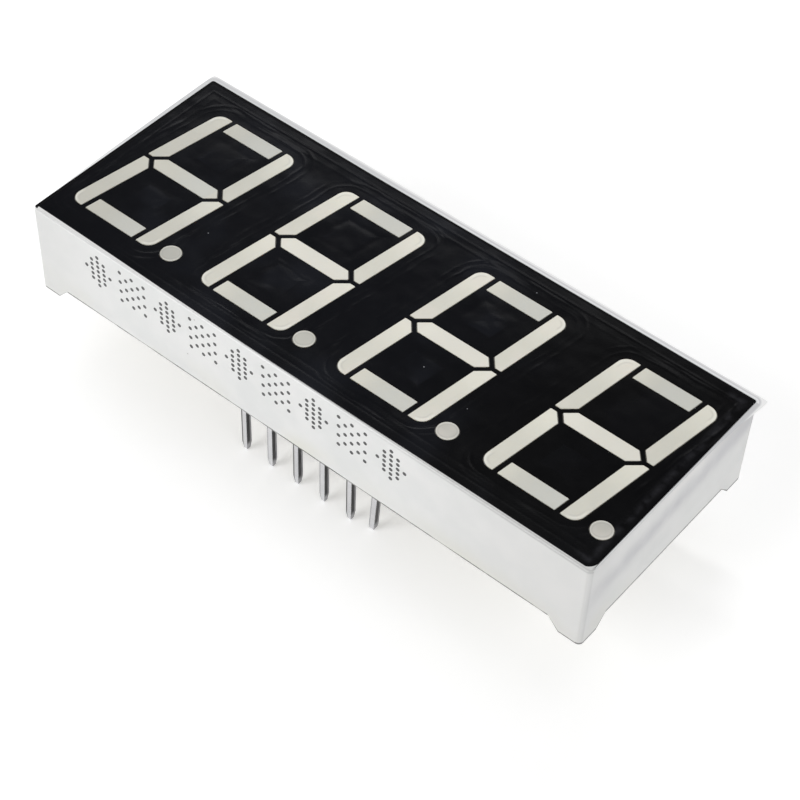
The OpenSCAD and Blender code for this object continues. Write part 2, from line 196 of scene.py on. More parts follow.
def srgb(red, green, blue):
    """A colour of 0 to 255 display values, made linear by the sRGB curve for the shaders."""
    linear = []
    for value in (red, green, blue):
        share = value / 255
        if share <= 0.04045:
            linear.append(share / 12.92)
        else:
            linear.append(((share + 0.055) / 1.055) ** 2.4)
    return (linear[0], linear[1], linear[2], 1.0)


def blend(factor, low, high):
    """Two colours mixed by factor."""
    node = factor.tree.nodes.new("ShaderNodeMix")
    node.data_type = "RGBA"
    plug(factor.tree, factor, node.inputs[0])
    plug(factor.tree, low, node.inputs[6])
    plug(factor.tree, high, node.inputs[7])
    return node.outputs[2]


class Surface:
    """A new material with its Principled shader and its place in millimetres."""

    def __init__(self, name):
        self.material = bpy.data.materials.new(name)
        self.material.use_nodes = True
        self.tree = self.material.node_tree
        self.shader = self.tree.nodes["Principled BSDF"]
        self.coordinates = self.tree.nodes.new("ShaderNodeTexCoord")
        to_mm = self.tree.nodes.new("ShaderNodeVectorMath")
        to_mm.operation = "SCALE"
        to_mm.inputs["Scale"].default_value = 1 / MM
        self.tree.links.new(self.coordinates.outputs["Object"], to_mm.inputs[0])
        self.place = to_mm.outputs[0]
        self.x, self.y, self.z = self.sides(self.place)

    def sides(self, vector):
        """The x, y and z of a vector."""
        split = self.tree.nodes.new("ShaderNodeSeparateXYZ")
        self.tree.links.new(vector, split.inputs[0])
        return [Field(self.tree, output) for output in split.outputs]

    def facing(self):
        """The surface's direction in the object's own frame: x, y and z."""
        return self.sides(self.coordinates.outputs["Normal"])

    def scaled(self, factors):
        """The place, with its x, y and z multiplied by these."""
        node = self.tree.nodes.new("ShaderNodeVectorMath")
        node.operation = "MULTIPLY"
        self.tree.links.new(self.place, node.inputs[0])
        node.inputs[1].default_value = factors
        return node.outputs[0]

    def noise(self, scale, detail, place=None):
        """Noise from 0 to 1, with scale features to the millimetre."""
        if place is None:
            place = self.place
        node = self.tree.nodes.new("ShaderNodeTexNoise")
        self.tree.links.new(place, node.inputs["Vector"])
        node.inputs["Scale"].default_value = scale
        node.inputs["Detail"].default_value = detail
        node.inputs["Roughness"].default_value = 0.5
        return Field(self.tree, node.outputs["Fac"])

    def specks(self, scale, size, share):
        """1 inside sparse round specks.

        There are scale cells to the millimetre. A speck has that size in its cell, and
        that share of the cells holds one.
        """
        cells = self.tree.nodes.new("ShaderNodeTexVoronoi")
        self.tree.links.new(self.place, cells.inputs["Vector"])
        cells.inputs["Scale"].default_value = scale
        channels = self.tree.nodes.new("ShaderNodeSeparateColor")
        self.tree.links.new(cells.outputs["Color"], channels.inputs["Color"])
        inside = Field(self.tree, cells.outputs["Distance"]) < size
        chosen = Field(self.tree, channels.outputs["Red"]) < share
        return inside * chosen

    def rounded_edges(self, radius):
        """The direction of a surface with its edges rounded, and a value that rises from 0 there."""
        bevel = self.tree.nodes.new("ShaderNodeBevel")
        bevel.samples = BEVEL_SAMPLES
        bevel.inputs["Radius"].default_value = radius * MM
        geometry = self.tree.nodes.new("ShaderNodeNewGeometry")
        alike = self.tree.nodes.new("ShaderNodeVectorMath")
        alike.operation = "DOT_PRODUCT"
        self.tree.links.new(bevel.outputs[0], alike.inputs[0])
        self.tree.links.new(geometry.outputs["True Normal"], alike.inputs[1])
        return bevel.outputs[0], 1.0 - Field(self.tree, alike.outputs["Value"])

    def digit_place(self):
        """x and y in the leaning frame of the nearest digit, its centre at 0, 0."""
        level = self.x - self.y * SLANT
        across = wrap(level - DIGIT_PITCH / 2, DIGIT_PITCH / 2, -DIGIT_PITCH / 2)
        return across, self.y

    def set(self, **values):
        """Sets the shader's sockets, named with _ for a space."""
        for name, value in values.items():
            plug(self.tree, value, self.shader.inputs[name.replace("_", " ")])

    def bump(self, height_um, direction=None):
        """Bumps the surface, or one that faces that direction, by a height in micrometres."""
        node = self.tree.nodes.new("ShaderNodeBump")
        node.inputs["Strength"].default_value = 1.0
        node.inputs["Distance"].default_value = MICRON
        plug(self.tree, height_um, node.inputs["Height"])
        if direction is not None:
            self.tree.links.new(direction, node.inputs["Normal"])
        self.tree.links.new(node.outputs[0], self.shader.inputs["Normal"])


# ---- The case -----------------------------------------------------------------
RIM_SHADE_GREY = srgb(192, 192, 191)
RIM_W = 0.3
CASE_ROUGH = 0.4

# The painted shadow line along a wall's lower edge fades out between these heights above that edge.
# It is wider and fainter on the right end wall, and darker towards the middle of the long walls.
SHADOW_FULL = 0.06
SHADOW_END = 0.15
RIGHT_SHADOW_FULL = 0.1
RIGHT_SHADOW_END = 0.22
RIGHT_SHADOW_SHARE = 0.85
SHADOW_DARK_X = 5.0
SHADOW_LIGHT_X = 9.0

# The painted reflection on the right end wall, a soft dark band: its height at the middle of the
# wall, the slope it climbs towards the back, and its half width.
DARK_BAND_Z = 5.6
DARK_BAND_SLOPE = 0.09
DARK_BAND_HALF_W = 1.0

# Inside this distance from the sides, only the lands round the windows show.
LAND_INSET = 0.6


def painted_edge_shadow(s, upright):
    """The narrow painted shadow line along the walls' lower edges, on their upright faces."""
    rise_on_side = s.z - wall_bottom(s.x, CASE_L / 2)
    rise_on_end = s.z - wall_bottom(s.y, CASE_W / 2)
    on_side = abs(s.y) > CASE_W / 2 - SKIN
    rise = on_side * rise_on_side + (1.0 - on_side) * rise_on_end
    patchy = fade(s.noise(0.5, 2.0), 0.3, 0.6, 0.4, 1.0)
    thin_shadow = fade(rise, SHADOW_END, SHADOW_FULL) * patchy
    on_right = s.x > CASE_L / 2 - CORNER_R
    wide_shadow = fade(rise, RIGHT_SHADOW_END, RIGHT_SHADOW_FULL, 0.0, RIGHT_SHADOW_SHARE) * on_right
    return larger(thin_shadow, wide_shadow) * upright


def wall_bottom(across, half):
    """Height of a wall's lower edge, 0 under the feet at its two ends."""
    from_foot = half - abs(across) - FOOT_FLAT
    return smaller(larger(from_foot, 0.0), WALL_FOOT_Z)


def wall_white(s, on_end, facing_x, facing_y):
    """The white of the case's walls."""
    white = blend(fade(s.noise(0.35, 3.0), 0.3, 0.7), srgb(232, 233, 232), srgb(239, 239, 238))
    warm = fade(s.z, 3.5, 0.4) * fade(s.noise(0.18, 1.0), 0.4, 0.7)
    white = blend(warm, white, srgb(230, 230, 220))
    # A painted reflection, a soft dark band, runs along the right end wall, lower towards the front.
    dark_band_z = s.y * DARK_BAND_SLOPE + DARK_BAND_Z
    reflected_band = hump(s.z - dark_band_z, 0.0, DARK_BAND_HALF_W, 1.0) * on_end
    reflected_band = reflected_band * fade(s.noise(0.6, 3.0), 0.2, 0.8, 0.5, 1.0)
    white = blend(reflected_band, white, srgb(206, 206, 209))
    white = blend(on_end * fade(s.y, -5.0, -9.0, 0.0, 0.5), white, srgb(222, 222, 222))
    # The front right corner catches two lamps, so its curve, at its most half way round, is painted
    # a little greyer: painted shade that tones down its highlight.
    round_corner = facing_x * facing_y * -2.0
    white = blend(fade(round_corner, 0.0, 0.9, 0.0, 0.55), white, srgb(210, 210, 209))
    # The front wall greys a little towards its ends: painted shade.
    on_front = s.y < SKIN - CASE_W / 2
    white = blend(on_front * fade(s.x, 6.0, 24.0, 0.0, 0.5), white, srgb(216, 215, 213))
    return blend(on_front * fade(s.x, -16.0, -24.0, 0.0, 0.4), white, srgb(216, 216, 214))


def case_plastic():
    """White moulded plastic, satin and mottled: inky round the windows, with a painted shadow line
    at its lower edge.
    """
    s = Surface("case_plastic")
    facing_x, facing_y, facing_z = s.facing()
    on_end = s.x > CASE_L / 2 - SKIN
    dust = s.specks(1.1, 0.06, 0.05)
    tone = blend(dust, wall_white(s, on_end, facing_x, facing_y), srgb(176, 174, 168))
    # The painted shadow line is darker along the middle of the long walls, by the pins.
    at_middle = fade(abs(s.x), SHADOW_LIGHT_X, SHADOW_DARK_X)
    shadow_grey = blend(at_middle, srgb(100, 100, 98), srgb(62, 62, 60))
    tone = blend(painted_edge_shadow(s, facing_z > -0.5), tone, shadow_grey)
    # The upper end wall is painted a little darker towards the back corner: painted shade.
    back_end_shade = fade(s.y, 2.0, 8.5) * fade(s.z, 5.0, 7.2) * on_end
    tone = blend(back_end_shade * 0.75, tone, srgb(203, 203, 206))
    # The rounded top edge of the front wall is painted greyer towards the right: painted shade on
    # its curve.
    at_rim = (s.y < RIM_W - CASE_W / 2) * fade(s.z, CASE_H - 0.38, CASE_H - 0.16)
    tone = blend(at_rim * fade(s.x, -2.0, 22.0, 0.0, 0.9), tone, RIM_SHADE_GREY)
    # The top rim is painted greyer towards the right too: painted shade.
    on_top = s.z > CASE_H - 0.1
    tone = blend(on_top, tone, blend(fade(s.x, -8.0, 20.0), srgb(222, 222, 222), RIM_SHADE_GREY))
    # The narrow lands between the ink and the windows take the ink's fringe.
    inboard = box_distance(s.x, s.y, CASE_L / 2, CASE_W / 2, 0.0) < -LAND_INSET
    s.set(Base_Color=blend(inboard * on_top, tone, srgb(64, 58, 44)))
    s.set(Roughness=swing(s.noise(2.2, 3.0), 0.07) + CASE_ROUGH)
    grain = swing(s.noise(26.0, 2.0), 0.6)
    waves = swing(s.noise(0.22, 1.0), 14.0)
    s.bump(grain + waves)
    return s.material


# ---- The black print ----------------------------------------------------------
# The squares inside a digit: their middles' height, half sides and corner.
SQUARE_Y = 3.35
SQUARE_HALF_W = 2.25
SQUARE_HALF_H = 2.2
SQUARE_CORNER = 0.5

# The ink stops short of the front right corner, in a curve of this radius.
BARE_CORNER = 0.85

# How far the moulding's outlines stray.
STRAY = 0.25

INK_ROUGH = 0.16
INK_SPECULAR = 0.03


def ink_relief(s, square, patches, other_patches):
    """Sinks over the digits' squares, and ridges round the digits and the rim, in micrometres."""
    x, y = s.digit_place()
    outline = box_distance(x, y, DIGIT_HALF_W, DIGIT_HALF_H, DIGIT_CORNER) + wobble(s)
    edge = ink_edge(s)
    # The last digit's squares came out nearly flat.
    moulding = fade(s.x, 17.0, 10.0, 0.25, 1.0)
    # Each hump's centre and half width are millimetres, and its height is micrometres.
    halo = hump(outline, 0.7, 0.12, 12.0) * patches
    outer_halo = hump(outline, 1.25, 0.14, 10.0) * other_patches
    sink = hump(square, -0.75, 0.3, -14.0) * patches * moulding
    pool = hump(square, -1.5, 0.35, 10.0) * other_patches * moulding
    rim = hump(edge, -0.95, 0.11, 7.0)
    second_rim = hump(edge, -1.6, 0.14, 8.0) * patches
    waves = swing(s.noise(0.25, 2.0), 36.0)
    # The face is calmer along the front and towards the right end.
    calm = fade(s.y, -8.6, -6.0, 0.45, 1.0) * fade(s.x, 25.0, 0.0, 0.6, 1.0)
    return (halo + outer_halo + sink + pool + rim + second_rim + waves) * calm


def wobble(s):
    """How far the moulding's outlines stray here, in millimetres."""
    return swing(s.noise(0.35, 2.0), STRAY)


def ink_edge(s):
    """Distance outside the case's own outline, less than 0 on the face."""
    return box_distance(s.x, s.y, CASE_L / 2, CASE_W / 2, CORNER_R)


def ink_tone(s, square, other_patches):
    """Black, greyer in clouds, with a painted reflection in the middle of the squares."""
    clouds = fade(s.noise(0.17, 2.0), 0.46, 0.68)
    # Painted reflection: the middles of the squares are greyer.
    square_sheen = fade(square, -0.95, -1.15) * other_patches
    clouds_and_sheen = larger(clouds * 0.4, square_sheen * 0.35) * fade(s.x, 22.0, 2.0, 0.15, 1.0)
    deep = blend(s.noise(0.3, 3.0), srgb(3, 4, 8), srgb(8, 9, 15))
    deep = blend(fade(s.x, 2.0, 16.0, 0.0, 0.9), deep, srgb(1, 1, 2))
    tone = blend(clouds_and_sheen, deep, srgb(28, 30, 37))
    # A faint greyer band, broken up by noise, follows the right edge.
    edge_band = hump(ink_edge(s), -0.75, 0.25, 0.5) * fade(s.x, 23.0, 23.8)
    edge_band = edge_band * fade(s.noise(1.1, 4.0), 0.35, 0.65)
    tone = blend(edge_band, tone, srgb(46, 46, 50))
    return blend(s.specks(1.3, 0.06, 0.045), tone, srgb(150, 152, 156))


def ink_missing(s):
    """1 where the case shows: past a wide curve at one corner, and in a sliver along the front."""
    half_l = CASE_L / 2 - FACE_MARGIN
    half_w = CASE_W / 2 - FACE_MARGIN
    past_curve = box_distance(s.x - FACE_SHIFT, s.y + FACE_SHIFT, half_l, half_w, BARE_CORNER)
    front_right = (s.x > 20.0) * (s.y < -5.0)
    at_corner = fade(past_curve, 0.0, 0.03) * front_right
    sliver = fade(s.x, -3.0, -25.0, 0.0, 0.24) + fade(s.x, 5.0, 18.0, 0.0, 0.06)
    from_front = s.y + (half_w + FACE_SHIFT)
    return larger(at_corner, fade(from_front - sliver, 0.02, -0.02))


def face_ink():
    """Glossy black ink over the moulded face, whose sinks and ridges it follows."""
    s = Surface("face_ink")
    x, y = s.digit_place()
    square = box_distance(x, abs(y) - SQUARE_Y, SQUARE_HALF_W, SQUARE_HALF_H, SQUARE_CORNER)
    square = square + wobble(s)
    patches = fade(s.noise(0.19, 2.0), 0.4, 0.6, 0.2, 1.0)
    other_patches = fade(s.noise(0.26, 2.0), 0.42, 0.62, 0.1, 1.0)
    relief = ink_relief(s, square, patches, other_patches)
    peel = swing(s.noise(4.0, 2.0), 0.4)
    s.bump(relief + peel)
    # Where the case shows past the ink, it is painted greyer towards the right: painted shade, as on
    # the rim.
    shaded_bare_white = blend(fade(s.x, -8.0, 20.0), srgb(224, 224, 223), srgb(206, 206, 205))
    s.set(Base_Color=blend(ink_missing(s), ink_tone(s, square, other_patches), shaded_bare_white))
    s.set(Roughness=swing(s.noise(0.8, 4.0), 0.05) + INK_ROUGH)
    s.set(Specular_IOR_Level=INK_SPECULAR)
    return s.material


# ---- The resin ----------------------------------------------------------------
# Painted shade of the funnels seen through the resin: lightness at an upright bar's lower and upper
# ends, and of the middle bar and the others.
UPRIGHT_LOWER = 0.58
UPRIGHT_UPPER = 0.92
MIDDLE_BAR = 0.66
OUTER_BAR = 0.36

# Distances from a decimal point's middle, of the greyer ring and of the light rim.
POINT_RING = 0.6
POINT_RIM = 0.78

RESIN_ROUGH = 0.34


def bar_shade(s, x, y, level, point):
    """Lightness, 0 to 1, painted shade of the funnels seen through the resin. Uprights lighten to
    their upper ends, and level bars to their left.
    """
    from_foot = wrap(y, DIGIT_HALF_H, 0.0)
    upright_shade = fade(from_foot, 2.8, 6.8, UPRIGHT_LOWER, UPRIGHT_UPPER)
    level_shade = fade(abs(y), 0.8, 1.0, MIDDLE_BAR, OUTER_BAR) + fade(x, -2.6, -0.2, 0.26, 0.0)
    bars = level * level_shade + (1.0 - level) * upright_shade
    shade = bars * (1.0 - point) + point * fade(s.x, -5.0, 12.0, 0.1, -0.1)
    # The windows are a little darker towards the first digit and the last.
    by_digit = fade(s.x, -19.0, -7.0, -0.2, 0.09) + fade(s.x, 9.0, 24.0, 0.0, -0.12)
    return shade + by_digit + swing(s.noise(0.9, 3.0), 0.08)


def bar_tints(s, x, y, narrow, level, cream):
    """Cream, more neutral in the top and bottom bars, and with faint pink clouds in the uprights."""
    at_middle = fade(abs(y), 3.0, 1.5) * fade(s.x, -14.0, -8.0)
    neutral = narrow * fade(x, -2.0, 1.0, 0.0, 0.7) * (1.0 - at_middle)
    tone = blend(neutral, cream, srgb(192, 193, 187))
    tone = blend(at_middle * level * 0.5, tone, srgb(222, 219, 210))
    tone = blend(fade(s.x, -18.0, -21.5, 0.0, 0.5), tone, srgb(184, 182, 172))
    pink = fade(s.noise(0.33, 2.0), 0.45, 0.65, 0.0, 0.35)
    pink = pink * fade(s.x, -14.0, -6.0, 0.2, 1.0) * (1.0 - narrow)
    return blend(pink, tone, srgb(220, 213, 204))


def window_edges(x, y, point, tone):
    """The round ends and the points have a light rim, with a greyer line inside it."""
    outline = box_distance(x, y, DIGIT_HALF_W, DIGIT_HALF_H, DIGIT_CORNER)
    round_end = fade(abs(x), 3.0, 3.5) * fade(abs(y), 5.5, 6.2)
    tone = blend(hump(outline, -0.38, 0.07, 0.35) * round_end, tone, srgb(176, 174, 168))
    tone = blend(hump(outline, -0.2, 0.1, 0.5) * round_end, tone, srgb(232, 231, 222))
    reach = length(x - POINT_X, y + POINT_Y)
    tone = blend(hump(reach, POINT_RING, 0.04, 0.35) * point, tone, srgb(150, 149, 144))
    return blend(hump(reach, POINT_RIM, 0.07, 0.6) * point, tone, srgb(214, 213, 204))


def window_resin():
    """Cream diffusing resin in the windows, and the potting below."""
    s = Surface("window_resin")
    x, y = s.digit_place()
    narrow = abs(x) < BAR_SPLIT_X
    level = larger(narrow, abs(x) + abs(y) < MIDDLE_CUT)
    point = x > POINT_INNER_X
    shade = bar_shade(s, x, y, level, point)
    cream = blend(shade, srgb(172, 171, 163), srgb(220, 218, 205))
    cream = bar_tints(s, x, y, narrow, level, cream)
    cream = window_edges(x, y, point, cream)
    potting = blend(s.noise(0.5, 4.0), srgb(196, 192, 176), srgb(214, 210, 196))
    s.set(Base_Color=blend(s.z < POTTING_TOP_Z, cream, potting))
    s.set(Roughness=swing(s.noise(1.6, 3.0), 0.06) + RESIN_ROUGH)
    s.set(Specular_IOR_Level=0.35)
    s.set(Subsurface_Weight=0.15)
    s.set(Subsurface_Radius=(0.5, 0.4, 0.3))
    s.set(Subsurface_Scale=0.4 * MM)
    dimples = swing(s.noise(1.2, 2.0), 3.0)
    grain = swing(s.noise(14.0, 2.0), 0.4)
    s.bump(dimples + grain)
    return s.material


# ---- The pins -----------------------------------------------------------------
EDGE_R = 0.09
ROLLED_ROUGH = 0.22
CUT_ROUGHER = 0.16

# The cut faces' drag marks: noise squeezed across a pin and drawn out along it.
DRAG = (8.0, 8.0, 0.35)


def pin_place(s):
    """x and y from the middle of the nearest pin, which leans if it is the bent one."""
    x = wrap(s.x - PIN_PITCH / 2, PIN_PITCH / 2, -PIN_PITCH / 2)
    y = s.y - calc(s.tree, "SIGN", s.y) * PIN_ROW_Y
    bent = (s.x > BENT_PIN_MIN_X) * (s.y < 0.0)
    depth = larger(BEND_Z - s.z, 0.0) * bent
    return x + depth * BENT_LEAN_X, y - depth * BENT_LEAN_Y


def rolled_face(s, x, clouds):
    """Bright rolled metal with a painted reflection darkening its left edge, darker on every other
    pin.
    """
    phase = (s.x + PIN_PITCH * 2.5) * (math.pi / PIN_PITCH)
    every_other = fade(calc(s.tree, "COSINE", phase), -0.3, 0.3)
    bright = blend(clouds, srgb(226, 226, 228), srgb(200, 200, 203))
    left_edge_reflection = blend(every_other, srgb(188, 188, 191), srgb(74, 74, 76))
    return blend(fade(x, -0.1, -0.2), bright, left_edge_reflection)


def cut_face_reflection(s, y, facing_x, drag):
    """Sheared metal with painted reflections: dark on the right in front, and lighter behind, on the
    left and by the tip.
    """
    streak = fade(drag, 0.35, 0.65)
    dark = blend(streak, srgb(26, 26, 28), srgb(58, 58, 60))
    light = blend(streak, srgb(138, 138, 141), srgb(172, 172, 175))
    behind = fade(y, 0.05, 0.14)
    near_tip = fade(s.z, -5.0, -5.7)
    leftward = fade(facing_x, 0.2, -0.2)
    return blend(larger(larger(behind, near_tip), leftward), dark, light)


def pin_metal():
    """A pin cut from tinned strip: rolled faces front and back, cut faces at the sides."""
    s = Surface("pin_metal")
    x, y = pin_place(s)
    facing_x = s.facing()[0]
    cut = fade(abs(facing_x), 0.55, 0.8)
    clouds = s.noise(0.7, 3.0)
    drag = s.noise(1.6, 3.0, s.scaled(DRAG))
    tone = blend(cut, rolled_face(s, x, clouds), cut_face_reflection(s, y, facing_x, drag))
    direction, from_edge = s.rounded_edges(EDGE_R)
    # The rounded edges are painted darker: painted reflection.
    s.set(Base_Color=blend(fade(from_edge, 0.005, 0.08, 0.0, 0.7), tone, srgb(92, 92, 95)))
    s.set(Metallic=1.0)
    s.set(Roughness=swing(clouds, 0.05) + ROLLED_ROUGH + cut * CUT_ROUGHER)
    lines = swing(drag, 2.5) * cut
    s.bump(lines + swing(s.noise(1.4, 2.0), 3.0), direction)
    return s.material


# ---- What the resin hides, and the ornament's ink -----------------------------
# The board's weave, in radians to the millimetre.
WEAVE_TURN = 14.0


def bright_solder():
    """Tinned metal, a little clouded."""
    s = Surface("bright_solder")
    clouds = s.noise(0.9, 3.0)
    s.set(Base_Color=blend(clouds, srgb(222, 222, 224), srgb(208, 208, 210)))
    s.set(Metallic=1.0)
    s.set(Roughness=swing(clouds, 0.06) + 0.22)
    s.bump(swing(s.noise(1.6, 2.0), 3.0))
    return s.material


def foil_metal(name, light, dark, rough):
    """Plated foil or wire, a little uneven in colour."""
    s = Surface(name)
    clouds = s.noise(3.5, 4.0)
    s.set(Base_Color=blend(clouds, light, dark))
    s.set(Metallic=1.0)
    s.set(Roughness=swing(clouds, 0.08) + rough)
    s.bump(swing(s.noise(12.0, 3.0), 0.6))
    return s.material


def gilt_copper():
    return foil_metal("gilt_copper", srgb(232, 200, 132), srgb(206, 164, 96), 0.32)


def gold_wire():
    return foil_metal("gold_wire", srgb(244, 208, 120), srgb(228, 184, 96), 0.18)


def glass_laminate():
    """Glass-epoxy laminate, with the weave of its cloth just showing."""
    s = Surface("glass_laminate")
    warp = calc(s.tree, "SINE", s.x * WEAVE_TURN)
    weft = calc(s.tree, "SINE", s.y * WEAVE_TURN)
    weave = warp * weft
    mottle = s.noise(1.0, 3.0)
    light = blend(mottle, srgb(214, 206, 168), srgb(204, 196, 156))
    s.set(Base_Color=blend(fade(weave, -1.0, 1.0), light, srgb(190, 182, 142)))
    s.set(Roughness=swing(mottle, 0.1) + 0.45)
    s.bump(weave * 1.5)
    return s.material


def chip_crystal():
    """Polished semiconductor with a soft metal sheen on its top."""
    s = Surface("chip_crystal")
    clouds = s.noise(9.0, 3.0)
    s.set(Base_Color=blend(clouds, srgb(150, 66, 48), srgb(112, 44, 36)))
    s.set(Roughness=swing(clouds, 0.08) + 0.22)
    s.bump(swing(s.noise(24.0, 2.0), 0.3))
    return s.material


def print_ink():
    """Dark grey ink dots, a little thin in places."""
    s = Surface("print_ink")
    cover = s.noise(7.0, 3.0)
    s.set(Base_Color=blend(cover, srgb(52, 52, 54), srgb(88, 88, 88)))
    s.set(Roughness=swing(cover, 0.1) + 0.5)
    s.bump(swing(s.noise(20.0, 2.0), 0.8))
    return s.material


# ---- Dress the CAD nodes ------------------------------------------------------
def dress(names, material):
    """Gives these CAD nodes a material."""
    for name in names:
        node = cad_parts[name]
        for index in range(max(1, len(node.material_slots))):
            if index < len(node.material_slots):
                node.material_slots[index].material = material
            else:
                node.data.materials.append(material)


def starting(prefix):
    """The CAD nodes whose names start so."""
    return [name for name in sorted(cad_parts) if name.startswith(prefix)]


def dress_all():
    dress(["reflector_case"], case_plastic())
    dress(["face_mask"], face_ink())
    dress(["epoxy_fill"], window_resin())
    dress(["circuit_board"], glass_laminate())
    dress(["front_tracks", "back_tracks"], gilt_copper())
    dress(["solder_joints"], bright_solder())
    dress(starting("pin_"), pin_metal())
    dress(starting("led_"), chip_crystal())
    dress(starting("bond_wires_"), gold_wire())


# ---- The printed ornament on the front wall -----------------------------------
DOT_PITCH_X = 0.59
DOT_PITCH_Z = 0.47
DOT_R = 0.165
DOT_SIDES = 20

# A dot stands this far off the wall, and its outer face is this share of its width.
DOT_LIFT = 0.004
DOT_TAPER = 0.9

# From motif to motif, and the first column and row of dots.
CELL_PITCH = 3.45
FIRST_CELL_X = -19.9
TOP_ROW_Z = 7.1

DIAMOND = (
    "..#..",
    ".###.",
    ".###.",
    "#####",
    ".###.",
    ".###.",
    "..#..",
)
CHECKER = (
    "#.#.#",
    ".#.#.",
    "#.#.#",
    ".#.#.",
    "#.#.#",
    ".#.#.",
    "#.#.#",
)
ORNAMENT = (DIAMOND, CHECKER, DIAMOND, CHECKER, DIAMOND, CHECKER, DIAMOND, CHECKER, DIAMOND)


def add_dot(mesh, x, z, wall_y):
    """A low round dot of ink on the front wall, its middle at x and z in millimetres."""
    inner = []
    outer = []
    for i in range(DOT_SIDES):
        turn = 2 * math.pi * i / DOT_SIDES
        side = math.cos(turn) * DOT_R
        rise = math.sin(turn) * DOT_R
        outer.append(mesh.verts.new(((x + side) * MM, wall_y, (z + rise) * MM)))
        top = ((x + side * DOT_TAPER) * MM, wall_y - DOT_LIFT * MM, (z + rise * DOT_TAPER) * MM)
        inner.append(mesh.verts.new(top))
    for i in range(DOT_SIDES):
        j = (i + 1) % DOT_SIDES
        mesh.faces.new((outer[i], outer[j], inner[j], inner[i]))
    mesh.faces.new(inner)
    mesh.faces.new(list(reversed(outer)))


def place_mesh(mesh, name, material):
    """Puts a finished mesh in the scene, and returns its object."""
    bmesh.ops.recalc_face_normals(mesh, faces=mesh.faces)
    data = bpy.data.meshes.new(name)
    mesh.to_mesh(data)
    mesh.free()
    data.materials.append(material)
    piece = bpy.data.objects.new(name, data)
    bpy.context.scene.collection.objects.link(piece)
    return piece


def build_print():
    """A row of nine dotted motifs, the same from either end."""
    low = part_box("reflector_case")[0]
    wall_y = low[1]
    mesh = bmesh.new()
    for cell, motif in enumerate(ORNAMENT):
        for row, line in enumerate(motif):
            for column, mark in enumerate(line):
                if mark == "#":
                    x = FIRST_CELL_X + cell * CELL_PITCH + column * DOT_PITCH_X
                    add_dot(mesh, x, TOP_ROW_Z - row * DOT_PITCH_Z, wall_y)
    piece = place_mesh(mesh, "side_print", print_ink())
    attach(piece, "root")


# ---- The margin of the protective film left on the face -----------------------
FILM_TOP_Z = 7.985
FILM_THICK = 0.035
FILM_ACROSS = 6
FILM_STEP = 0.4

# The film lies flat this far out, then droops by this slope, with slight waves: the
# slope of each, and its turn from station to station.
FILM_FLAT = 0.2
FILM_DROOP = 0.05
FILM_WAVES = ((0.008, 0.9), (0.005, 0.37))

# Where the film's edge lies along each side: place, and x or y of the edge.
FILM_LEFT = (
    (-9.4, -25.24),
    (-7.0, -25.27),
    (-4.0, -25.42),
    (-1.0, -25.5),
    (2.0, -25.55),
    (5.0, -25.6),
    (9.2, -25.65),
)
FILM_BACK = (
    (-25.0, 10.16),
    (-10.0, 10.16),
    (0.0, 10.06),
    (10.0, 10.07),
    (18.0, 9.98),
    (25.0, 10.04),
)
FILM_RIGHT = ((-9.1, 25.25), (2.0, 25.27), (5.0, 25.33), (7.0, 25.45), (9.2, 25.7))

# At each back corner: degrees round the inner arc, and the film's edge there, from
# where the two sides' edges would meet.
FILM_LEFT_CORNER = ((22, 0.0, -0.4), (45, 0.04, -0.04), (68, 0.4, 0.0))
FILM_RIGHT_CORNER = ((68, -0.35, 0.0), (45, 0.0, -0.02), (22, 0.02, -0.4))

# The film shows from the printed face's own edge outwards.
FILM_INNER_LEFT = -24.985
FILM_INNER_RIGHT = 25.13
FILM_INNER_BACK = 9.335
FILM_INNER_CORNER = 0.2

# The outline of the print as the photo shows it, which ends under the film.
INK_HALF_L = 25.2
INK_HALF_W = 9.5
INK_SHIFT = 0.05
INK_CORNER = 0.2

# Distances outside that outline, of a light line and of a greyer one.
LIGHT_LINE = 0.14
GREY_LINE = 0.27

FILM_ROUGH = 0.45
FILM_SPECULAR = 0.03


def along(table, place):
    """The value of a table of place and value pairs, straight between them."""
    if place <= table[0][0]:
        return table[0][1]
    for (low, first), (high, second) in zip(table, table[1:]):
        if place <= high:
            return first + (second - first) * (place - low) / (high - low)
    return table[-1][1]


def steps(start, end):
    """Places from start to end, about FILM_STEP apart."""
    count = max(2, round(abs(end - start) / FILM_STEP))
    return [start + (end - start) * i / count for i in range(count + 1)]


def film_corner(centre_x, side, meeting, table):
    """Stations at a back corner: a point of the inner arc, and one of the film's edge."""
    stations = []
    for degrees, past_x, past_y in table:
        turn = math.radians(degrees)
        x = centre_x + side * FILM_INNER_CORNER * math.cos(turn)
        y = FILM_INNER_BACK - FILM_INNER_CORNER + FILM_INNER_CORNER * math.sin(turn)
        stations.append(((x, y), (meeting[0] + past_x, meeting[1] + past_y)))
    return stations


def film_stations():
    """Pairs of points, on the printed face's edge and on the film's, round three sides."""
    left = FILM_INNER_LEFT + FILM_INNER_CORNER
    right = FILM_INNER_RIGHT - FILM_INNER_CORNER
    back = FILM_INNER_BACK - FILM_INNER_CORNER
    left_meeting = (FILM_LEFT[-1][1], FILM_BACK[0][1])
    right_meeting = (FILM_RIGHT[-1][1], FILM_BACK[-1][1])
    pairs = []
    for y in steps(FILM_LEFT[0][0], back):
        pairs.append(((FILM_INNER_LEFT, y), (along(FILM_LEFT, y), y)))
    pairs += film_corner(left, -1, left_meeting, FILM_LEFT_CORNER)
    for x in steps(left, right):
        pairs.append(((x, FILM_INNER_BACK), (x, along(FILM_BACK, x))))
    pairs += film_corner(right, 1, right_meeting, FILM_RIGHT_CORNER)
    for y in steps(back, FILM_RIGHT[0][0]):
        pairs.append(((FILM_INNER_RIGHT, y), (along(FILM_RIGHT, y), y)))
    return pairs


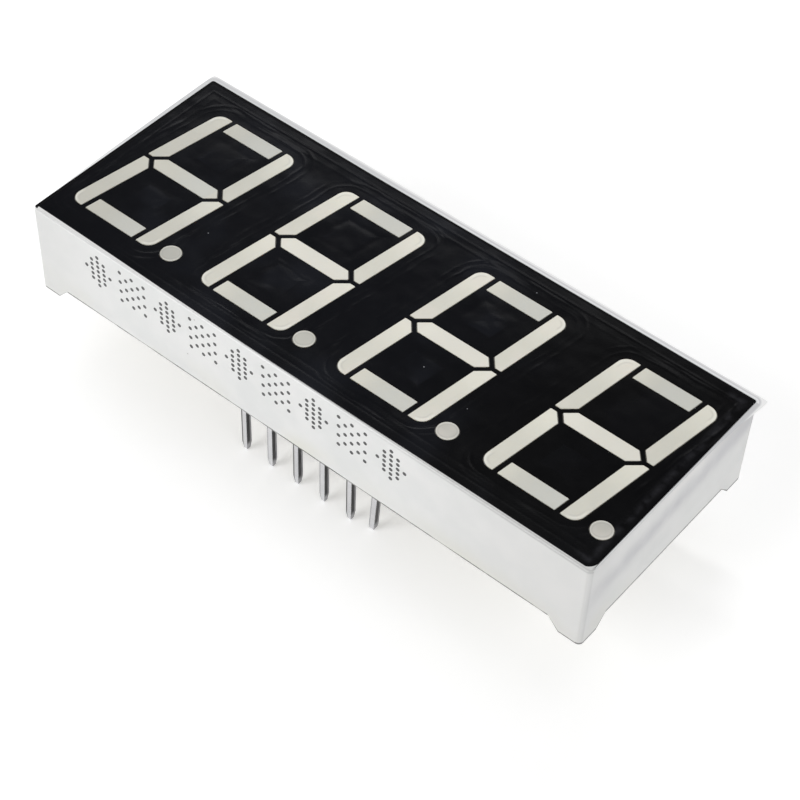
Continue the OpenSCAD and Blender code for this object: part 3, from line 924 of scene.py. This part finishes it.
def film_plastic():
    """The film's margin: ink under its inner edge, then pale, and lighter to its outer edge."""
    s = Surface("film_plastic")
    clouds = s.noise(0.8, 3.0)
    bow = fade(s.x, -18.0, -8.0, 0.1, 0.03) + fade(s.x, 8.0, 20.0, 0.0, 0.02)
    out = box_distance(s.x + INK_SHIFT, s.y - bow, INK_HALF_L, INK_HALF_W, INK_CORNER)
    at_back = s.y > INK_HALF_W - 0.1
    at_left = s.x < 0.0
    tone = blend(clouds, srgb(208, 209, 210), srgb(215, 216, 217))
    right_side = fade(s.y, -4.0, 6.0) * (s.x > 25.0) * (1.0 - at_back)
    tone = blend(right_side * 0.8, tone, srgb(194, 194, 196))
    # Two fine lines run along the back: a light one at the ink, and a greyer one outside it, painted
    # shade where the case's back edge rounds away.
    right_back = fade(s.x, -10.0, 0.0) * at_back
    tone = blend(hump(out, LIGHT_LINE, 0.07, 0.9) * right_back, tone, srgb(230, 230, 231))
    line = hump(out, GREY_LINE, 0.05, 1.0) * fade(clouds, 0.3, 0.6, 0.4, 1.0)
    tone = blend(line * at_back, tone, srgb(204, 204, 206))
    beyond = out - fade(s.x, -12.0, 2.0, 0.1, 0.0)
    tone = blend(fade(beyond, 0.27, 0.45), tone, srgb(239, 239, 239))
    front_left = fade(s.y, 4.0, -6.0, 0.0, 0.85) * at_left
    tone = blend(front_left, tone, srgb(244, 244, 244))
    s.set(Base_Color=blend(fade(out, -0.01, 0.01), srgb(4, 4, 6), tone))
    s.set(Specular_IOR_Level=FILM_SPECULAR)
    s.set(Roughness=swing(clouds, 0.06) + FILM_ROUGH)
    s.bump(swing(s.noise(1.5, 2.0), 4.0))
    return s.material


def film_height(reach, count):
    """Height of the film's top at this distance out, at the station of this number."""
    past = max(0.0, reach - FILM_FLAT)
    wave = sum(slope * math.sin(count * turn) for slope, turn in FILM_WAVES)
    return FILM_TOP_Z - FILM_DROOP * past + wave * past


def build_film():
    """A thin margin of film on the case's rim, past its edge at the back."""
    mesh = bmesh.new()
    rows = []
    for count, (inner, outer) in enumerate(film_stations()):
        top = []
        under = []
        for i in range(FILM_ACROSS):
            share = i / (FILM_ACROSS - 1)
            x = inner[0] + (outer[0] - inner[0]) * share
            y = inner[1] + (outer[1] - inner[1]) * share
            z = film_height(math.hypot(x - inner[0], y - inner[1]), count)
            top.append(mesh.verts.new((x * MM, y * MM, z * MM)))
            under.append(mesh.verts.new((x * MM, y * MM, (z - FILM_THICK) * MM)))
        rows.append(top + list(reversed(under)))
    for low, high in zip(rows, rows[1:]):
        for i in range(len(low)):
            j = (i + 1) % len(low)
            mesh.faces.new((low[i], low[j], high[j], high[i]))
    mesh.faces.new(rows[0])
    mesh.faces.new(list(reversed(rows[-1])))
    piece = place_mesh(mesh, "film_margin", film_plastic())
    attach(piece, "root")


# ---- Floor, light and camera --------------------------------------------------
# The floor's half side, and how far it lies below the pins' tips, in metres.
FLOOR_HALF = 1.5
FLOOR_GAP = 0.00002
WHITE = (1.0, 1.0, 1.0, 1.0)
PAPER = (0.8, 0.8, 0.8, 1.0)
PAPER_ROUGH = 0.9

# Metres from the object, and how brightly the paper shines by itself there.
PAPER_NEAR = 0.12
PAPER_FAR = 0.7
NEAR_WHITE = 0.37
FAR_WHITE = 0.8

# How brightly the world lights the object. It shows as white itself.
WORLD_LIGHT = 0.3

# Name, place, width, height, watts, roll about its aim in degrees, and whether gloss
# mirrors it. The two strips stand either side of the line in which the flat face mirrors
# the camera, so that only the ripples in its gloss catch them. The low rear lamp only
# lights the back wall: mirrored, it would whiten the glossy face.
LAMPS = (
    ("key", (-0.19, -0.49, 0.32), 0.36, 0.36, 1.92, 0, True),
    ("side", (0.45, -0.06, 0.3), 0.3, 0.3, 0.72, 0, True),
    ("top", (0.1, 0.1, 0.6), 0.3, 0.3, 0.28, 0, True),
    ("rear", (-0.3, 0.5, 0.14), 0.3, 0.3, 0.9, 0, False),
    ("upper_strip", (-0.198, 0.254, 0.506), 0.26, 0.045, 0.5, -34, True),
    ("lower_strip", (-0.284, 0.365, 0.382), 0.3, 0.04, 0.24, -26, True),
)

# In millimetres and degrees.
CAMERA_AT = (63.082, -78.671, 111.466)
CAMERA_AIM = (6.882, -6.341, 8.0)
CAMERA_ROLL = 2.52
CAMERA_LENS = 92.43
CAMERA_SENSOR = 36

# In metres.
CAMERA_NEAR = 0.005
CAMERA_FAR = 20


def seen_ray(tree):
    """1 on rays from the camera, and on those that gloss or glass passes on."""
    rays = tree.nodes.new("ShaderNodeLightPath")
    seen = larger(Field(tree, rays.outputs["Is Camera Ray"]), rays.outputs["Is Glossy Ray"])
    return larger(seen, rays.outputs["Is Transmission Ray"])


def seamless_paper():
    """The floor: pale matt paper, shown as white where no shadow falls."""
    material = bpy.data.materials.new("seamless_paper")
    material.use_nodes = True
    tree = material.node_tree
    shader = tree.nodes["Principled BSDF"]
    shader.inputs["Base Color"].default_value = PAPER
    shader.inputs["Roughness"].default_value = PAPER_ROUGH
    shader.inputs["Specular IOR Level"].default_value = 0.0
    shader.inputs["Emission Color"].default_value = WHITE
    # The lamps light the floor less further out, so more of its white is its own there.
    coordinates = tree.nodes.new("ShaderNodeTexCoord")
    distance = tree.nodes.new("ShaderNodeVectorMath")
    distance.operation = "LENGTH"
    tree.links.new(coordinates.outputs["Object"], distance.inputs[0])
    reach = Field(tree, distance.outputs["Value"])
    own_white = fade(reach, PAPER_NEAR, PAPER_FAR, NEAR_WHITE, FAR_WHITE)
    plug(tree, seen_ray(tree) * own_white, shader.inputs["Emission Strength"])
    return material


def build_floor():
    level = cad_box[0][2] - FLOOR_GAP
    data = bpy.data.meshes.new("studio_floor")
    corners = [
        (-FLOOR_HALF, -FLOOR_HALF, level),
        (FLOOR_HALF, -FLOOR_HALF, level),
        (FLOOR_HALF, FLOOR_HALF, level),
        (-FLOOR_HALF, FLOOR_HALF, level),
    ]
    data.from_pydata(corners, [], [(0, 1, 2, 3)])
    floor = bpy.data.objects.new("studio_floor", data)
    bpy.context.scene.collection.objects.link(floor)
    data.materials.append(seamless_paper())


def build_world():
    world = bpy.data.worlds.new("studio")
    bpy.context.scene.world = world
    world.use_nodes = True
    tree = world.node_tree
    background = tree.nodes["Background"]
    background.inputs["Color"].default_value = WHITE
    strength = fade(seen_ray(tree), 0.0, 1.0, WORLD_LIGHT, 1.0)
    plug(tree, strength, background.inputs["Strength"])


def aimed(location, aim, roll):
    """The turn of a lamp or camera that looks from location to aim, rolled by so many degrees."""
    level = (Vector(aim) - Vector(location)).to_track_quat("-Z", "Y")
    turn = Quaternion((0, 0, 1), math.radians(roll))
    return (level @ turn).to_euler()


def build_lights():
    """Soft lights, all aimed at the object's middle."""
    for name, location, wide, high, watts, roll, mirrored in LAMPS:
        light = bpy.data.lights.new(name, "AREA")
        light.shape = "RECTANGLE"
        light.size = wide
        light.size_y = high
        light.energy = watts
        lamp = bpy.data.objects.new(name, light)
        lamp.location = location
        lamp.rotation_euler = aimed(location, (0, 0, 0), roll)
        lamp.visible_glossy = mirrored
        bpy.context.scene.collection.objects.link(lamp)


def build_camera():
    camera = bpy.data.cameras.new("camera")
    camera.sensor_width = CAMERA_SENSOR
    camera.lens = CAMERA_LENS
    camera.clip_start = CAMERA_NEAR
    camera.clip_end = CAMERA_FAR
    rig = bpy.data.objects.new("camera", camera)
    rig.location = Vector(CAMERA_AT) * MM
    rig.rotation_euler = aimed(CAMERA_AT, CAMERA_AIM, CAMERA_ROLL)
    bpy.context.scene.collection.objects.link(rig)
    bpy.context.scene.camera = rig


build_camera()
build_world()
build_lights()
build_floor()
dress_all()
build_print()
build_film()
bpy.context.scene.view_settings.view_transform = "Standard"
